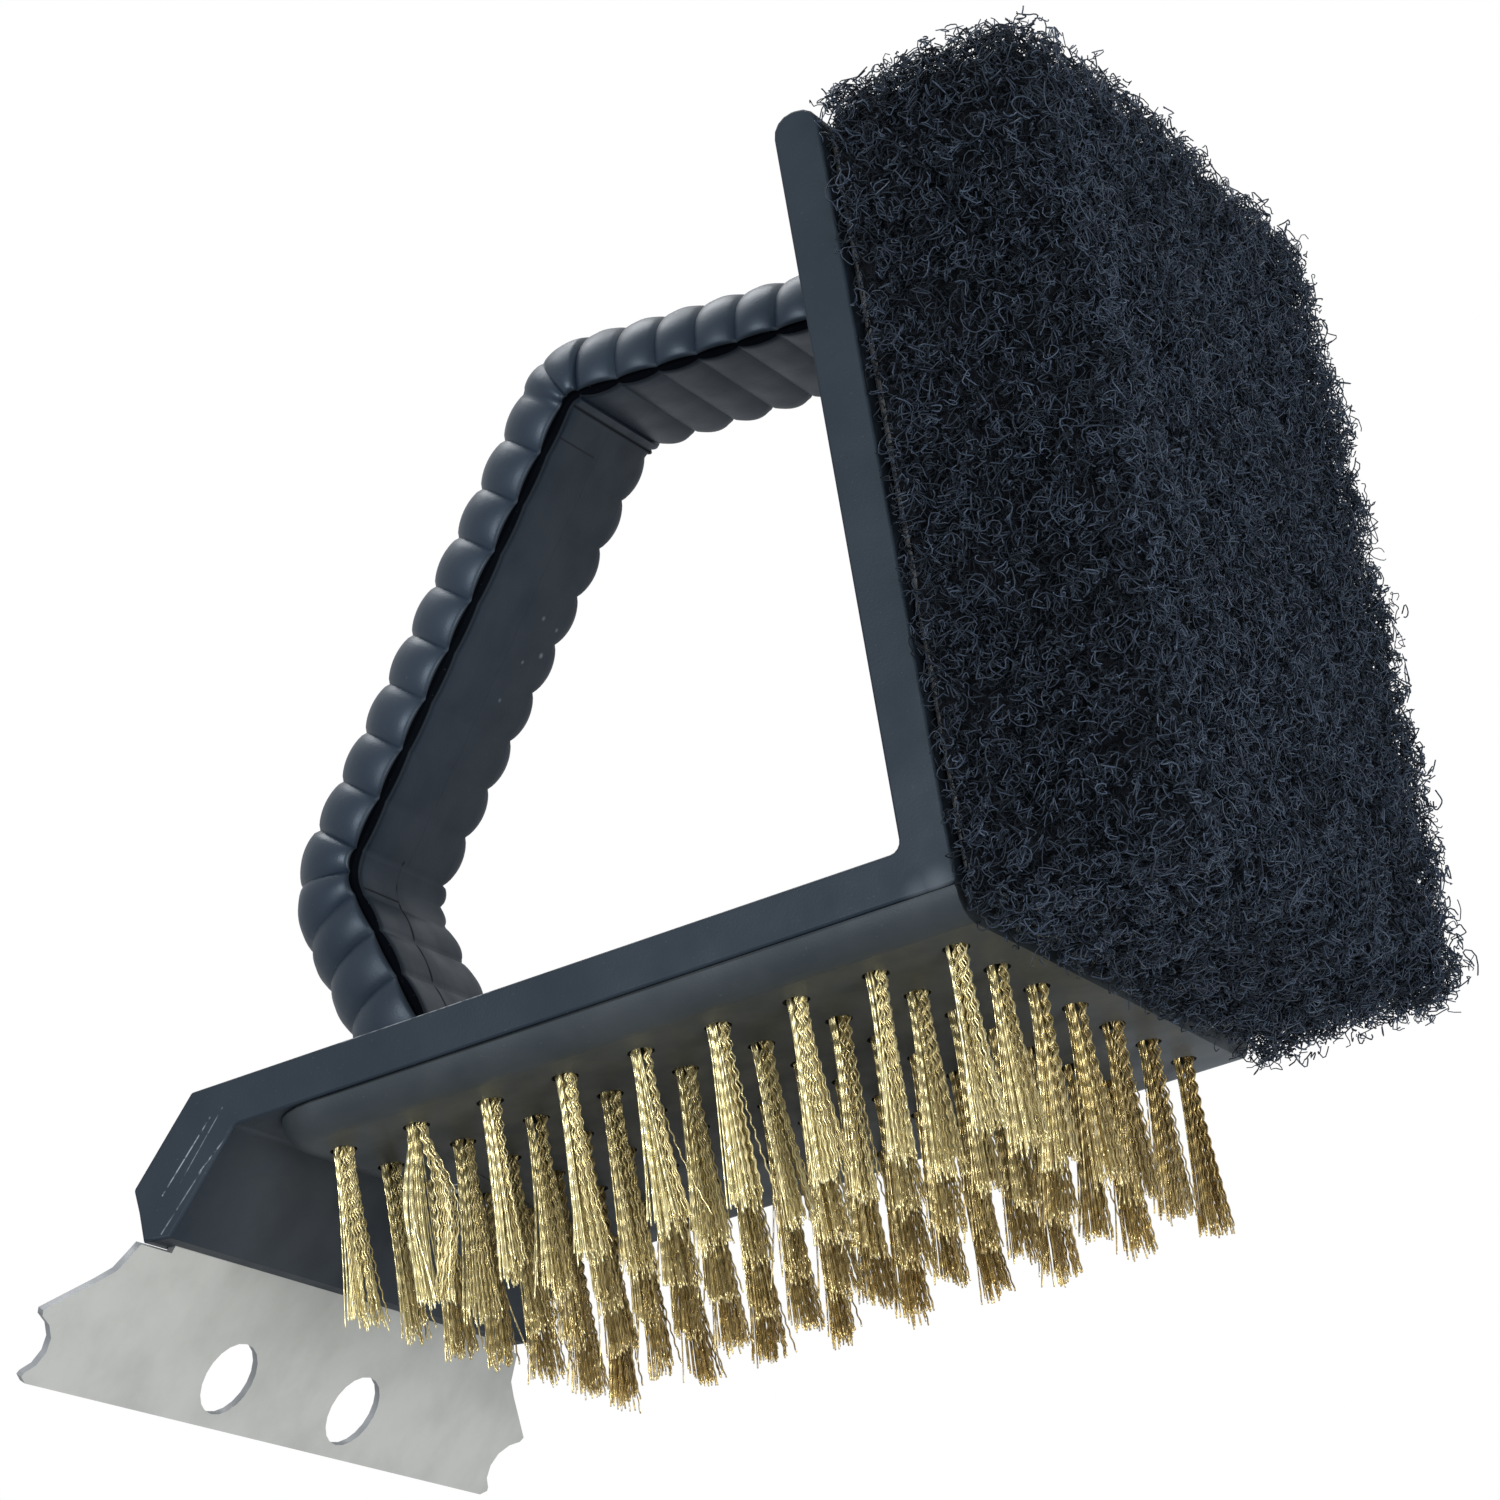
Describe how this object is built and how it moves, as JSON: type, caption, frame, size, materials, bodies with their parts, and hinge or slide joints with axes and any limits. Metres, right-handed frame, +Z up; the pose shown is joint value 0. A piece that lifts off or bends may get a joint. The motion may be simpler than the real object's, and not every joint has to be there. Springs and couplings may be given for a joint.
{
  "type": "grill cleaning brush",
  "caption": "Hand grill brush: L-shaped plastic body with beaded loop handle, brass wire tufts, scouring pad and angled steel scraper.",
  "frame": {"origin": "centre of the bounding box, at the height of the bristle tips it stands on", "axes": "+X from the scraper towards the pad, Y across the brush with the mid-plane at Y = 0, +Z up out of the bristle tips"},
  "size_m": [0.1764, 0.124, 0.1483],
  "materials": {
    "body": "satin moulded plastic, blue-black",
    "block": "satin moulded plastic",
    "handle": "satin moulded plastic, blue-black",
    "bristles": "crimped brass wire",
    "screws": "zinc-plated steel",
    "blade": "plain rolled steel, light scuffs",
    "adhesive": "adhesive film",
    "pad": "black non-woven scouring web"
  },
  "bodies": {
    "root": {"body": "body", "bristle_block": "block", "tuft_row_1": "bristles", "tuft_row_2": "bristles", "tuft_row_3": "bristles", "tuft_row_4": "bristles", "tuft_row_5": "bristles", "tuft_row_6": "bristles", "tuft_row_7": "bristles", "handle_near_half": "handle", "handle_far_half": "handle", "handle_top_screw_1": "screws", "handle_foot_screw_1": "screws", "handle_top_screw_2": "screws", "handle_foot_screw_2": "screws", "scraper_blade": "blade", "pad_adhesive": "adhesive", "scour_pad": "pad"}
  },
  "joints": []
}
